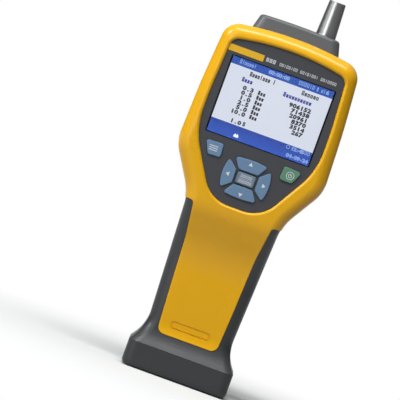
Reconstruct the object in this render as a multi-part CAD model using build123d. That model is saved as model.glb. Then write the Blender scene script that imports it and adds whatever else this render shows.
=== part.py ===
from build123d import *
import os

# Hand-held airborne particle counter.
#
# Millimetres. +Z is up, +X is to the user's right and -Y is the front, where the display is.
# The origin is the centre of the base's footprint, on the surface that the counter stands on.
#
# The body is one envelope, a front outline crossed with a side profile, and every moulding is
# a layer of it: envelope(inset) gives the same rounded form, smaller by inset on every side.

# ---------------------------------------------------------------- driving dimensions

BASE_HEIGHT = 17.2          # plinth, up to the crease where the handle begins
BASE_EDGE_RADIUS = 4.0
HALF_DEPTH = 26.5           # half of the head's depth
FRONT_EDGE_RADIUS = 8.0     # rounding of the envelope round the front face
REAR_EDGE_RADIUS = 10.0
PROBE_TOP = 268.0

# front outline, right half, from the foot up: x, z, corner radius
OUTLINE = [
    (43.4, 8.0, 0), (28.7, 27.6, 30), (33.0, 119.2, 32), (50.57, 148.0, 25),
    (49.1, 190.0, 500), (45.8, 231.8, 12), (0, 238.1, 228),
]
# side profile, front foot round to rear foot: y, z, corner radius
PROFILE = [
    (-32.6, 8.0, 0), (-20.8, 27.6, 30), (-18.8, 84.0, 90), (-HALF_DEPTH, 114.0, 40),
    (-HALF_DEPTH, 260.0, 0), (HALF_DEPTH, 260.0, 0), (HALF_DEPTH, 128.0, 60), (20.0, 100.0, 60),
    (20.8, 27.6, 30), (32.6, 8.0, 0),
]

# layers of the envelope, as insets from the cover's skin
COVER_SKIN = 0.0            # yellow front cover
CASE_SKIN = 0.5             # dark front and rear mouldings
COVER_INNER = 2.2
CASE_UNDER_COVER = 2.3
FRONT_CAVITY = 4.5
REAR_CAVITY = 3.0
REAR_WALL = HALF_DEPTH - REAR_CAVITY    # inner face of the head's rear wall

PARTING = 4.0               # y of the joint between front and rear mouldings
FIT = 0.15                  # gap round a fixed piece set into a moulding
KEY_FIT = 0.3               # gap round a key

# yellow cover: whole head above the grip, and a strip down the handle (x, z, radius)
COVER_HALF = [
    (0, 260.0, 0), (60.0, 260.0, 0), (60.0, 116.6, 0), (27.0, 115.4, 2.5), (23.9, 92.0, 80),
    (22.2, 57.0, 120), (20.4, 26.9, 5), (0, 26.9, 0),
]
# recessed dark panel, right half (x, z, radius)
PANEL_HALF = [
    (0, 119.5, 0), (17.5, 119.5, 22), (41.2, 159.6, 50), (41.3, 185.0, 300), (39.0, 222.4, 6),
    (0, 230.2, 170),
]
PANEL_FRONT = -25.2
PANEL_BACK = -24.2          # also the front face of the case under the cover
CASE_INNER_FRONT = -22.0    # inner face of the head's front wall
COVER_LIP_RADIUS = 1.8
COVER_EDGE_RADIUS = 0.4     # rounding of the strip's edges down the handle
GROOVE = (26.6, 5.0)        # fine groove near the strip's lower end, as a rounded rectangle
GROOVE_Z = 34.7
GROOVE_WIDTH = 0.7
GROOVE_DEPTH = 0.6

SCREEN_Z = 186.7
WINDOW = (71.3, 52.1)
WINDOW_RADIUS = 1.0
DISPLAY = (76.9, 56.0)
DISPLAY_GAP = 0.3
DISPLAY_FRONT = PANEL_BACK + 0.5    # behind the gasket
DISPLAY_DEPTH = 3.2
BOARD_FRONT = -17.2
BOARD_BACK = BOARD_FRONT + 1.6

# keys: right-hand soft key and the cluster's keys, about the cluster's centre (x, z, radius)
SOFT_KEY = [(33.0, 155.6, 1.5), (20.8, 156.2, 1.5), (20.3, 147.0, 1.5), (28.8, 146.8, 1.5)]
CLUSTER_Z = 139.2
UP_KEY = [
    (6.6, 5.1, 1.2), (11.3, 12.2, 1.3), (0, 13.5, 70), (-11.3, 12.2, 1.3), (-6.6, 5.1, 1.2),
]
RIGHT_KEY = [
    (7.8, -4.5, 1.2), (14.3, -10.0, 1.3), (16.9, 0, 25), (14.3, 10.0, 1.3), (7.8, 4.5, 1.2),
]
ENTER_KEY = (12.4, 7.5)
ENTER_RADIUS = 1.2
KEY_TOP = -26.0
KEY_EDGE = 0.5
FLANGE_OUT = 0.5            # how far a key's flange stands out past its sides
FLANGE_FRONT = -21.9
FLANGE_BACK = -21.0
MAT_BACK = BOARD_FRONT
MAT_FRONT = -18.4
PLUNGER_FRONT = -20.2
PLUNGER_RADIUS = 1.5
MAT_HALF = [
    (0, 125.2, 0), (19.0, 125.2, 2), (34.0, 148.0, 3), (34.0, 157.6, 2), (0, 157.6, 0),
]
BOARD_HALF = [
    (0, 116.5, 0), (19.0, 116.5, 2), (34.5, 150.0, 4), (34.5, 226.0, 3), (0, 226.0, 0),
]

# top cap: a tapered block with rounded corners under a slightly crowned top
CAP_LOW_Z = 231.0
CAP_HIGH_Z = 246.0
CAP_LOW = (61.2, 36.8)
CAP_HIGH = (53.0, 30.4)
CAP_CORNER = 6.0
CAP_CROWN_Z = 244.7
CAP_CROWN_RADIUS = 500.0
CAP_EDGE = 2.6
CAP_STEM = (48.0, 23.4)     # stem that passes down through the case's top wall
CAP_STEM_BOTTOM = 229.2
CAP_PLATE = (60.0, 24.0)
CAP_PLATE_BOTTOM = CAP_STEM_BOTTOM - 1.5
CAP_SCREW_X = (-18.0, 2.0)

# air path
PROBE_X = 17.3
PROBE_SEAT = 243.8
PROBE_BARB_TOP = 221.5
PROBE_CONE = 14.0           # length of the inlet's cone under its bore
PROBE_COLLAR = 6.9          # radius of the probe's collar, on the cap
PROBE_BORE = 4.6
PROBE_BORE_DEPTH = 12.0
SHAFT_RADIUS = 5.0
FLOW_RADIUS = 1.6
BARB_RADIUS = 2.9
TUBE_INNER = 3.0
TUBE_OUTER = 4.3
TUBE_END_GAP = 0.2

SENSOR_LOW = (2.3, -12.5, 173.0)
SENSOR_HIGH = (32.3, 13.5, 203.0)
BEAM_Z = 188.0

FILTER_BOTTOM = 134.0
FILTER_TOP = 160.0
FILTER_RADIUS = 9.0

PUMP_X = -22.0
PUMP_BOTTOM = 146.0
PUMP_HEAD = (21.0, 21.0, 16.0)
MOTOR_RADIUS = 10.4
MOTOR_TOP = 189.0
PUMP_PORT_OFFSET = 4.5
LOOP_BOTTOM = 117.0
LOOP_RADIUS = 9.5
VENT_Z = 130.0
VENT_X = PUMP_X - PUMP_PORT_OFFSET + 1.5
VENT_SLOT = (11.0, 1.4)
VENT_PITCH = 3.0

# handle
BATTERY = (38.0, 19.5, 66.0)
BATTERY_CENTRE = (0, 6.5, 76.0)
RIB_HEIGHTS = (52.0, 76.0, 100.0)
RIB_THICK = 1.6
DOOR_HALF_WIDTH = 20.5
DOOR_BOTTOM = 33.5
DOOR_TOP = 110.5
DOOR_SKIN_DEPTH = 2.0       # inset of the battery door's inner face
DOOR_LEDGE = 2.5
DOOR_SCREW_LAND = 5.0       # extra ledge below the opening, for the screw
DOOR_SCREW_Z = 38.3
DOOR_SCREW_Y = 20.1         # flush face of the door screw's head

# fasteners: housing screws at (x, z), either side of the middle
HOUSING_SCREWS = [(38.6, 219.0), (38.6, 150.0), (28.6, 9.2)]
BOARD_POSTS = [(28.0, 220.0), (15.0, 121.4)]
BOSS_RADIUS = 3.4
BOSS_PILOT = 1.3
SCREW_SEAT = 8.0            # y that the housing screws' heads seat on
SCREW_WELL = 3.1
SCREW_WELL_WALL = 1.1
POST_RADIUS = 2.8
POST_PILOT = 1.15

# base
PLINTH_FLOOR = 2.5
SOCKET_FACE = 21.1
RECESS_BACK = 24.5
NETWORK_SOCKET = (16.0, 15.6, 11.4)
NETWORK_X = -7.0
NETWORK_OPENING = (12.0, 8.0)
USB_SOCKET = (10.0, 8.0, 4.4)
USB_X = 9.0
USB_OPENING = (7.6, 3.2)
CONNECTOR_BOARD_TOP = PLINTH_FLOOR + 1.2
NETWORK_LOW = CONNECTOR_BOARD_TOP + 1.2     # lower edge of the network socket's mouth
USB_MIDDLE = CONNECTOR_BOARD_TOP + USB_SOCKET[2] / 2
CONTACT_X = (-8.0, 8.0)
CONTACT_Y = -6.0
CONTACT_RADIUS = 2.0
PORT_DOOR_X = (-17.0, 15.0)
PORT_DOOR_Z = (4.4, 14.8)
PORT_DOOR_Y = (24.8, 26.3)
DOOR_AXIS = (24.9, 13.8)    # y, z of the port door's hinge
BEZEL_X = (-20.5, 18.5)
BEZEL_Z = (2.9, 16.6)
BEZEL_INNER = SOCKET_FACE + 0.1
FLANGE_Y = 23.0
BEZEL_FLANGE = 2.0          # how far the bezel's flange stands out behind the wall
TRUNNION_RADIUS = 0.8
TRUNNION_FIT = 0.05

FAR = 120.0                 # longer than anything in the counter


# ---------------------------------------------------------------- building blocks

def face(points):
    """Closed face from (a, b, corner radius) points."""
    corners = [(a, b) for a, b, radius in points]
    radii = [radius for a, b, radius in points]
    outline = FilletPolyline(*corners, radius=radii, close=True)
    return Face(Wire(outline.edges()))


def mirrored(half):
    """Complete an outline given as its right half, with points on the middle kept single."""
    left = [(-a, b, radius) for a, b, radius in reversed(half) if a > 0]
    return half + left


def front(shape, near, far):
    """Prism of a front-view face, between two depths y."""
    return extrude(Plane.XZ.offset(-near) * shape, far - near, dir=(0, 1, 0))


def span(x0, x1, y0, y1, z0, z1):
    """Box between two corners."""
    centre = Pos((x0 + x1) / 2, (y0 + y1) / 2, (z0 + z1) / 2)
    return centre * Box(x1 - x0, y1 - y0, z1 - z0)


def rod_x(radius, x0, x1, y, z):
    return Pos((x0 + x1) / 2, y, z) * Rot(0, 90, 0) * Cylinder(radius, x1 - x0)


def rod_y(radius, x, y0, y1, z):
    return Pos(x, (y0 + y1) / 2, z) * Rot(90, 0, 0) * Cylinder(radius, y1 - y0)


def rod_z(radius, x, y, z0, z1):
    return Pos(x, y, (z0 + z1) / 2) * Cylinder(radius, z1 - z0)


def tube(points, bend):
    """Hose along straight runs joined by arcs of one radius."""
    if len(points) > 2:
        path = FilletPolyline(*points, radius=bend)
    else:
        path = Line(*points)
    section = Plane(origin=path @ 0, z_dir=path % 0)
    outer = sweep(section * Circle(TUBE_OUTER), path=path)
    return outer - sweep(section * Circle(TUBE_INNER), path=path)


def barb(x, y, z0, z1, point_up):
    """Hose barb: a short tapered pipe with a ridge at its free end."""
    length = z1 - z0
    pipe = [
        (FLOW_RADIUS, 0), (BARB_RADIUS - 0.3, 0), (BARB_RADIUS - 0.3, length * 0.55),
        (BARB_RADIUS, length * 0.6), (BARB_RADIUS - 0.5, length), (FLOW_RADIUS, length),
    ]
    body = revolve(Plane.XZ * Polygon(*pipe, align=None), Axis.Z)
    if point_up:
        return Pos(x, y, z0) * body
    return Pos(x, y, z1) * Rot(180, 0, 0) * body


# ---------------------------------------------------------------- the envelope

def rim_edges(solid, front_side):
    """Edges round the front or the rear face, without the creases across it."""
    found = []
    for edge in solid.edges():
        middle = edge.center()
        along = edge.tangent_at(0.5)
        crease = abs(along.X) > 0.9999 and middle.Z < PANEL_HALF[-2][1]
        runs_back = abs(along.Y) > 0.999
        foot = middle.Z < BASE_HEIGHT and abs(along.Z) < 0.01
        if crease or runs_back or foot:
            continue
        if (middle.Y < 0) == front_side:
            found.append(edge)
    return found


def crossed(inset):
    """Front outline crossed with the side profile, its edges rounded, from z = 8 up."""
    outline = face(mirrored(OUTLINE))
    profile = face(PROFILE)
    if inset > 0:
        outline = offset(outline, -inset)
        profile = offset(profile, -inset)
    solid = extrude(Plane.XZ * outline, FAR, both=True)
    solid &= extrude(Plane.YZ * profile, FAR, both=True)
    solid = fillet(rim_edges(solid, True), FRONT_EDGE_RADIUS - inset)
    return fillet(rim_edges(solid, False), REAR_EDGE_RADIUS - inset)


def envelope(inset, floor=None):
    """Outer form, smaller by inset; with a floor height it includes the plinth."""
    upper = crossed(inset) & span(-FAR, FAR, -FAR, FAR, BASE_HEIGHT, 3 * FAR)
    if floor is None:
        return upper
    section = upper.faces().sort_by(Axis.Z)[0]
    plinth = extrude(section, BASE_HEIGHT - floor, dir=(0, 0, -1))
    edge_radius = BASE_EDGE_RADIUS - floor
    if edge_radius > 0.2:
        bottom = plinth.faces().sort_by(Axis.Z)[0]
        plinth = fillet(bottom.edges(), edge_radius)
    return upper + plinth


skin = envelope(COVER_SKIN)
case_solid = envelope(CASE_SKIN, floor=0.0)
under_cover = envelope(CASE_UNDER_COVER)
cover_inner = envelope(COVER_INNER)
front_cavity = envelope(FRONT_CAVITY, floor=FRONT_CAVITY - CASE_SKIN)
rear_cavity = envelope(REAR_CAVITY, floor=PLINTH_FLOOR)
front_half = span(-FAR, FAR, -FAR, PARTING, -1, 3 * FAR)
rear_half = span(-FAR, FAR, PARTING, FAR, -1, 3 * FAR)


# ---------------------------------------------------------------- outlines shared by pieces

panel_outline = face(mirrored(PANEL_HALF))
cover_outline = face(mirrored(COVER_HALF))
window_outline = Pos(0, SCREEN_Z) * RectangleRounded(*WINDOW, WINDOW_RADIUS)
display_outline = Pos(0, SCREEN_Z) * Rectangle(*DISPLAY)


def about_cluster(points):
    return face([(x, z + CLUSTER_Z, radius) for x, z, radius in points])


key_outlines = {
    "key_power": face(SOFT_KEY),
    "key_menu": face([(-x, z, radius) for x, z, radius in SOFT_KEY]),
    "key_up": about_cluster(UP_KEY),
    "key_down": about_cluster([(x, -z, radius) for x, z, radius in UP_KEY]),
    "key_right": about_cluster(RIGHT_KEY),
    "key_left": about_cluster([(-x, z, radius) for x, z, radius in RIGHT_KEY]),
    "key_enter": Pos(0, CLUSTER_Z) * RectangleRounded(*ENTER_KEY, ENTER_RADIUS),
}


# ---------------------------------------------------------------- top cap

def cap_block(grow=0.0):
    """Tapered block of the cap, larger by grow on its sides."""
    ends = []
    for (width, depth), z in ((CAP_LOW, CAP_LOW_Z), (CAP_HIGH, CAP_HIGH_Z)):
        end = RectangleRounded(width + 2 * grow, depth + 2 * grow, CAP_CORNER)
        ends.append(Pos(0, 0, z) * end)
    return loft(ends)


def cap_stem(gap=0.0):
    half_x = CAP_STEM[0] / 2 + gap
    half_y = CAP_STEM[1] / 2 + gap
    return span(-half_x, half_x, -half_y, half_y, CAP_STEM_BOTTOM, CAP_LOW_Z + 7.0)


def make_cap():
    block = cap_block() & rod_y(CAP_CROWN_RADIUS, 0, -FAR, FAR, CAP_CROWN_Z - CAP_CROWN_RADIUS)
    top = [edge for edge in block.edges() if edge.center().Z > CAP_CROWN_Z - 3.0]
    block = fillet(top, CAP_EDGE)
    cap = (block - under_cover) + (cap_stem() & envelope(CASE_UNDER_COVER - 0.05))
    cap -= rod_z(SHAFT_RADIUS + 0.1, PROBE_X, 0, 0, PROBE_TOP)
    cap -= rod_z(PROBE_COLLAR + 0.3, PROBE_X, 0, PROBE_SEAT, PROBE_TOP)
    cap -= rod_z(PROBE_COLLAR - 0.2, PROBE_X, 0, PROBE_SEAT - 1.5, PROBE_TOP)
    for x in CAP_SCREW_X:
        cap -= rod_z(BOSS_PILOT, x, 0, CAP_STEM_BOTTOM - 1, CAP_STEM_BOTTOM + 8)
    return cap


def make_cap_plate():
    """Steel plate inside the top wall that the cap's screws and the inlet's nut pull against."""
    half_x = CAP_PLATE[0] / 2
    half_y = CAP_PLATE[1] / 2
    plate = span(-half_x, half_x, -half_y, half_y, CAP_PLATE_BOTTOM, CAP_STEM_BOTTOM)
    plate -= rod_z(SHAFT_RADIUS + 0.1, PROBE_X, 0, 0, PROBE_TOP)
    for x in CAP_SCREW_X:
        plate -= rod_z(1.4, x, 0, 0, PROBE_TOP)
    return plate


def make_cap_screw(x):
    head = rod_z(2.4, x, 0, CAP_PLATE_BOTTOM - 1.6, CAP_PLATE_BOTTOM)
    return head + rod_z(1.2, x, 0, CAP_PLATE_BOTTOM, CAP_STEM_BOTTOM + 6)


def make_inlet_nut():
    thickness = 4.0
    outline = Pos(PROBE_X, 0) * RegularPolygon(8.2, 6)
    nut = extrude(Plane.XY.offset(CAP_PLATE_BOTTOM - thickness) * outline, thickness)
    return nut - rod_z(SHAFT_RADIUS + 0.05, PROBE_X, 0, 0, PROBE_TOP)


# ---------------------------------------------------------------- front and rear mouldings

def cover_zone(gap):
    """Where the yellow cover lies: round the head, and down the front of the handle."""
    outline = cover_outline if gap == 0 else offset(cover_outline, gap)
    whole = front(outline, -FAR, PARTING + gap)
    handle_sides = span(-FAR, FAR, gap, FAR, 0, COVER_HALF[2][1] - 1)
    return whole - handle_sides


def on_panel_lip(edge):
    """True for an edge round the panel's opening that lies on the cover's front face."""
    middle = edge.position_at(0.5)
    on_face = abs(middle.Y + HALF_DEPTH) < 0.01
    return on_face and panel_outline.outer_wire().distance_to(Vector(middle.X, middle.Z, 0)) < 0.01


def on_strip_edge(edge):
    """True for an outer edge of the strip down the handle, and of the head's lower border."""
    middle = edge.position_at(0.5)
    if middle.Z > COVER_HALF[2][1] + 1 or middle.Y > 0 or abs(edge.tangent_at(0.5).Y) > 0.95:
        return False
    on_outline = cover_outline.outer_wire().distance_to(Vector(middle.X, middle.Z, 0)) < 0.01
    return on_outline and not case_solid.is_inside(middle)


def make_front_cover():
    cover = cover_zone(0) & (skin - cover_inner)
    cover -= front(panel_outline, -FAR, -10)
    cover -= cap_block(FIT)
    cover = fillet([edge for edge in cover.edges() if on_panel_lip(edge)], COVER_LIP_RADIUS)
    cover = fillet([edge for edge in cover.edges() if on_strip_edge(edge)], COVER_EDGE_RADIUS)
    outline = Pos(0, GROOVE_Z) * RectangleRounded(*GROOVE, 2.0)
    ring = outline - offset(outline, -GROOVE_WIDTH)
    return cover - (front(ring, -FAR, 0) - envelope(GROOVE_DEPTH))


def both_sides(points):
    """The points at (x, z) and their mirror images."""
    return [(side, z) for x, z in points for side in (x, -x)]


def make_front_housing():
    recess = cover_zone(FIT) - under_cover
    shell = (case_solid & front_half) - recess - front_cavity
    for x, z in both_sides(HOUSING_SCREWS):
        limit = under_cover if z > COVER_HALF[2][1] else case_solid
        shell += rod_y(BOSS_RADIUS, x, CASE_INNER_FRONT - 1.6, PARTING, z) & limit
        shell -= rod_y(BOSS_PILOT, x, -8, PARTING + 1, z)
    for x, z in both_sides(BOARD_POSTS):
        shell += rod_y(POST_RADIUS, x, CASE_INNER_FRONT - 1.0, BOARD_FRONT, z)
        shell -= rod_y(POST_PILOT, x, CASE_INNER_FRONT + 1.0, 0, z)
    battery_front = BATTERY_CENTRE[1] - BATTERY[1] / 2
    for z in RIB_HEIGHTS:
        rib = span(-18.0, 18.0, -FAR, battery_front, z - RIB_THICK / 2, z + RIB_THICK / 2)
        shell += rib & envelope(FRONT_CAVITY - 0.3)
    shell -= front(offset(display_outline, DISPLAY_GAP, kind=Kind.INTERSECTION), -FAR, BOARD_FRONT)
    for outline in key_outlines.values():
        shell -= front(offset(outline, KEY_FIT), -FAR, MAT_FRONT)
    shell -= cap_block(FIT) - under_cover
    shell -= cap_stem(FIT)
    for x in CONTACT_X:
        shell -= rod_z(CONTACT_RADIUS + 0.1, x, CONTACT_Y, -1, 6)
    return shell


def make_rear_housing():
    thick_top = span(-34, 34, 0, 20.5, 222, 250) - envelope(FRONT_CAVITY)
    shell = (case_solid & rear_half) - (rear_cavity - thick_top)
    for x, z in both_sides(HOUSING_SCREWS):
        shell += rod_y(SCREW_WELL + SCREW_WELL_WALL, x, PARTING, 28, z) & case_solid
        shell -= rod_y(1.7, x, 0, FAR, z)
        shell -= rod_y(SCREW_WELL, x, SCREW_SEAT, FAR, z)
    shell -= cap_block(FIT) - under_cover
    shell -= cap_stem(FIT)
    shell = cut_battery_door(shell)
    for step in range(-2, 3):
        slot = Pos(VENT_X, VENT_Z + VENT_PITCH * step) * SlotOverall(*VENT_SLOT)
        shell -= front(slot, 15, FAR)
    x0, x1 = BEZEL_X
    z0, z1 = BEZEL_Z
    return shell - span(x0 - FIT, x1 + FIT, 15, FAR, z0 - FIT, z1 + FIT)


def cut_battery_door(shell):
    """Rebate and opening for the battery door, and the boss for its screw."""
    rebate = front(door_outline(FIT), 10, FAR) - envelope(DOOR_SKIN_DEPTH + 0.05)
    middle = (DOOR_BOTTOM + DOOR_TOP) / 2
    width = 2 * (DOOR_HALF_WIDTH - DOOR_LEDGE)
    height = DOOR_TOP - DOOR_BOTTOM - 2 * DOOR_LEDGE - DOOR_SCREW_LAND
    opening = Pos(0, middle + DOOR_SCREW_LAND / 2) * RectangleRounded(width, height, 2.0)
    shell = shell - rebate - front(opening, 10, FAR)
    boss = rod_y(3.0, 0, 12.0, FAR, DOOR_SCREW_Z) & envelope(DOOR_SKIN_DEPTH + 0.05)
    return shell + boss - rod_y(1.0, 0, 12.8, FAR, DOOR_SCREW_Z)


def door_outline(grow=0.0):
    width = 2 * (DOOR_HALF_WIDTH + grow)
    height = DOOR_TOP - DOOR_BOTTOM + 2 * grow
    return Pos(0, (DOOR_BOTTOM + DOOR_TOP) / 2) * RectangleRounded(width, height, 4.0 + grow)


def opening_in_bezel(x, width, low, high):
    """Cutter for a plug's opening, through the bezel's wall."""
    return span(x - width / 2, x + width / 2, 15, 30, low, high)


def make_port_bezel():
    """Insert in the plinth's rear wall: door recess, hinge bores and plug openings."""
    x0, x1 = PORT_DOOR_X
    axis_y, axis_z = DOOR_AXIS
    bezel = span(*BEZEL_X, BEZEL_INNER, FAR, *BEZEL_Z) & case_solid
    bezel += span(
        BEZEL_X[0] - BEZEL_FLANGE, BEZEL_X[1] + BEZEL_FLANGE, BEZEL_INNER, FLANGE_Y,
        BEZEL_Z[0] + 1.3, BEZEL_Z[1] + 0.8,
    )
    bezel -= span(x0 - 0.3, x1 + 0.3, RECESS_BACK, FAR, PORT_DOOR_Z[0] - 0.3, axis_z + 2.0)
    bezel -= rod_x(2.0, x0 - 0.3, x1 + 0.3, axis_y, axis_z)
    bezel -= rod_x(TRUNNION_RADIUS + TRUNNION_FIT, x0 - 2.3, x1 + 2.3, axis_y, axis_z)
    width, height = NETWORK_OPENING
    bezel -= opening_in_bezel(NETWORK_X, width + 0.4, NETWORK_LOW - 0.1, NETWORK_LOW + height + 0.1)
    width, height = USB_OPENING
    reach = height / 2 + 1.0
    return bezel - opening_in_bezel(USB_X, width + 2.4, USB_MIDDLE - reach, USB_MIDDLE + reach)


def make_battery_door():
    door = front(door_outline(), 10, FAR) & (case_solid - envelope(DOOR_SKIN_DEPTH))
    for x in (-12.0, 12.0):
        link = span(x - 3, x + 3, 10, FAR, DOOR_TOP - 7.0, DOOR_TOP - DOOR_LEDGE - FIT)
        link &= envelope(DOOR_SKIN_DEPTH - 0.3) - envelope(FRONT_CAVITY)
        tab = span(x - 3, x + 3, 10, FAR, DOOR_TOP - 7.0, DOOR_TOP + 3.0)
        tab &= envelope(REAR_CAVITY + FIT) - envelope(FRONT_CAVITY)
        door += link + tab
    door -= rod_y(BOSS_PILOT, 0, 10, FAR, DOOR_SCREW_Z)
    return door - screw_cone(0.1)


def screw_cone(grow):
    """Countersunk head of the door screw, or its seat when grown."""
    height = 1.1
    cone = Cone(1.2 + grow, 2.3 + grow, height)
    return Pos(0, DOOR_SCREW_Y - height / 2, DOOR_SCREW_Z) * Rot(-90, 0, 0) * cone


# ---------------------------------------------------------------- front panel, display and keys

def make_front_panel():
    panel = front(offset(panel_outline, -FIT), PANEL_FRONT, PANEL_BACK)
    panel -= front(offset(window_outline, FIT), -FAR, 0)
    for outline in key_outlines.values():
        panel -= front(offset(outline, KEY_FIT), -FAR, 0)
    return panel


def make_gasket():
    outer = front(display_outline, PANEL_BACK, DISPLAY_FRONT)
    hole = Pos(0, SCREEN_Z) * Rectangle(WINDOW[0] - 1.6, WINDOW[1] - 1.0)
    return outer - front(hole, -FAR, 0)


def make_display_frame():
    frame = front(display_outline, DISPLAY_FRONT + DISPLAY_DEPTH, BOARD_FRONT)
    wall = 4.5
    hole = Pos(0, SCREEN_Z) * RectangleRounded(DISPLAY[0] - 2 * wall, DISPLAY[1] - 2 * wall, 3)
    return frame - front(hole, -FAR, 0)


def make_key(outline):
    body = front(outline, KEY_TOP, FLANGE_BACK)
    top = body.faces().sort_by(Axis.Y)[0]
    body = fillet(top.edges(), KEY_EDGE)
    return body + front(offset(outline, FLANGE_OUT), FLANGE_FRONT, FLANGE_BACK)


def make_mat():
    mat = front(face(mirrored(MAT_HALF)), MAT_FRONT, MAT_BACK)
    for outline in key_outlines.values():
        centre = outline.center()
        mat += rod_y(PLUNGER_RADIUS, centre.X, PLUNGER_FRONT, MAT_FRONT, centre.Y)
    return mat


def make_board():
    board = front(face(mirrored(BOARD_HALF)), BOARD_FRONT, BOARD_BACK)
    for x, z in both_sides(BOARD_POSTS):
        board -= rod_y(1.35, x, -FAR, 0, z)
    return board


def screw_y(x, z, head_y, head_radius, head_height, shank_radius, length):
    """Pan-head screw with its head towards the rear and a hexagon socket."""
    head = rod_y(head_radius, x, head_y, head_y + head_height, z)
    head = chamfer(head.edges().sort_by(Axis.Y)[-1], head_height * 0.25)
    top = Plane(origin=(x, head_y + head_height, z), z_dir=(0, -1, 0))
    head -= extrude(top * RegularPolygon(head_radius * 0.5, 6), head_height * 0.5)
    return head + rod_y(shank_radius, x, head_y - length, head_y, z)


def make_board_screws():
    return [screw_y(x, z, BOARD_BACK, 2.4, 1.6, 1.1, 5.0) for x, z in both_sides(BOARD_POSTS)]


def make_housing_screws():
    return [screw_y(x, z, SCREW_SEAT, 2.8, 2.2, 1.25, 14.0) for x, z in both_sides(HOUSING_SCREWS)]


# ---------------------------------------------------------------- air path

def make_probe():
    """Isokinetic inlet: wide mouth, cylindrical bore, then a cone down to the flow passage."""
    seat = PROBE_SEAT
    low = PROBE_BARB_TOP
    throat = PROBE_TOP - PROBE_BORE_DEPTH
    section = [
        (FLOW_RADIUS, low - 7.5), (BARB_RADIUS - 0.3, low - 7.5), (BARB_RADIUS, low - 4.5),
        (BARB_RADIUS - 0.3, low - 4.2), (BARB_RADIUS - 0.3, low), (SHAFT_RADIUS - 0.8, low),
        (SHAFT_RADIUS, low + 0.8), (SHAFT_RADIUS, seat),
        (PROBE_COLLAR, seat), (PROBE_COLLAR - 0.15, seat + 1.2), (5.6, PROBE_TOP - 0.3),
        (5.3, PROBE_TOP), (PROBE_BORE, PROBE_TOP), (PROBE_BORE, throat), (FLOW_RADIUS, throat - PROBE_CONE),
    ]
    return Pos(PROBE_X, 0, 0) * revolve(Plane.XZ * Polygon(*section, align=None), Axis.Z)


def make_sensor_block():
    low, high = SENSOR_LOW, SENSOR_HIGH
    block = span(low[0], high[0], low[1], high[1], low[2], high[2])
    block = chamfer(block.edges().filter_by(Axis.Z), 1.5)
    block -= rod_z(3.0, PROBE_X, 0, low[2] - 1, high[2] + 1)
    block -= rod_x(5.1, low[0] - 1, high[0] + 1, 0, BEAM_Z)
    block -= rod_y(6.1, PROBE_X, low[1] - 1, high[1] + 1, BEAM_Z)
    for x in (low[0] + 4, high[0] - 4):
        for z in (low[2] + 4, high[2] - 4):
            block -= rod_y(1.3, x, 5, 20, z)
    return block


def make_barbs():
    low, high = SENSOR_LOW[2], SENSOR_HIGH[2]
    plugs = []
    for z0, z1 in ((high - 5, high), (low, low + 5)):
        plugs.append(rod_z(2.95, PROBE_X, 0, z0, z1) - rod_z(FLOW_RADIUS, PROBE_X, 0, z0 - 1, z1 + 1))
    upper, lower = plugs
    return [upper + barb(PROBE_X, 0, high, high + 6, True), lower + barb(PROBE_X, 0, low - 6, low, False)]


def make_laser():
    x_face = SENSOR_HIGH[0]
    barrel = rod_x(5.0, x_face - 9, x_face, 0, BEAM_Z) - rod_x(3.0, x_face - 10, x_face - 2, 0, BEAM_Z)
    flange = rod_x(6.6, x_face, x_face + 2.0, 0, BEAM_Z)
    return barrel + flange + rod_x(4.6, x_face + 2.0, x_face + 7.5, 0, BEAM_Z)


def make_beam_stop():
    x_face = SENSOR_LOW[0]
    stop = rod_x(5.0, x_face, x_face + 8, 0, BEAM_Z) + rod_x(6.6, x_face - 1.6, x_face, 0, BEAM_Z)
    cone = Pos(x_face + 5.0, 0, BEAM_Z) * Rot(0, 90, 0) * Cone(0.4, 4.2, 6.2)
    return stop - cone


def make_mirror():
    y_face = SENSOR_LOW[1]
    plug = rod_y(6.0, PROBE_X, y_face, y_face + 7, BEAM_Z)
    plug += rod_y(7.6, PROBE_X, y_face - 1.4, y_face, BEAM_Z)
    return plug - Pos(PROBE_X, y_face + 13.5, BEAM_Z) * Sphere(9.0)


def make_detector_board():
    y_face = SENSOR_HIGH[1]
    board = span(PROBE_X - 9, PROBE_X + 9, y_face, y_face + 1.6, BEAM_Z - 9, BEAM_Z + 9)
    can = rod_y(4.0, PROBE_X, y_face - 4.5, y_face, BEAM_Z)
    return board + can + rod_y(2.6, PROBE_X, y_face - 5.5, y_face - 4.5, BEAM_Z)


def make_standoffs():
    posts = []
    for x in (SENSOR_LOW[0] + 4, SENSOR_HIGH[0] - 4):
        for z in (SENSOR_LOW[2] + 4, SENSOR_HIGH[2] - 4):
            post = rod_y(2.4, x, SENSOR_HIGH[1], REAR_WALL, z)
            posts.append(post + rod_y(1.2, x, 8, SENSOR_HIGH[1], z))
    return posts


def make_filter():
    middle = (FILTER_BOTTOM + FILTER_TOP) / 2
    half = (FILTER_TOP - FILTER_BOTTOM) / 2
    section = [
        (0, -half), (FILTER_RADIUS - 3.5, -half), (FILTER_RADIUS, -half + 3.0), (FILTER_RADIUS, -1.5),
        (FILTER_RADIUS + 0.8, -1.5), (FILTER_RADIUS + 0.8, 1.5), (FILTER_RADIUS, 1.5),
        (FILTER_RADIUS, half - 3.0), (FILTER_RADIUS - 3.5, half), (0, half),
    ]
    capsule = Pos(PROBE_X, 0, middle) * revolve(Plane.XZ * Polygon(*section, align=None), Axis.Z)
    capsule -= rod_z(FLOW_RADIUS, PROBE_X, 0, FILTER_BOTTOM - 1, FILTER_BOTTOM + 4)
    capsule -= rod_z(FLOW_RADIUS, PROBE_X, 0, FILTER_TOP - 4, FILTER_TOP + 1)
    capsule += barb(PROBE_X, 0, FILTER_TOP, FILTER_TOP + 5.5, True)
    return capsule + barb(PROBE_X, 0, FILTER_BOTTOM - 5.5, FILTER_BOTTOM, False)


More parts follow.
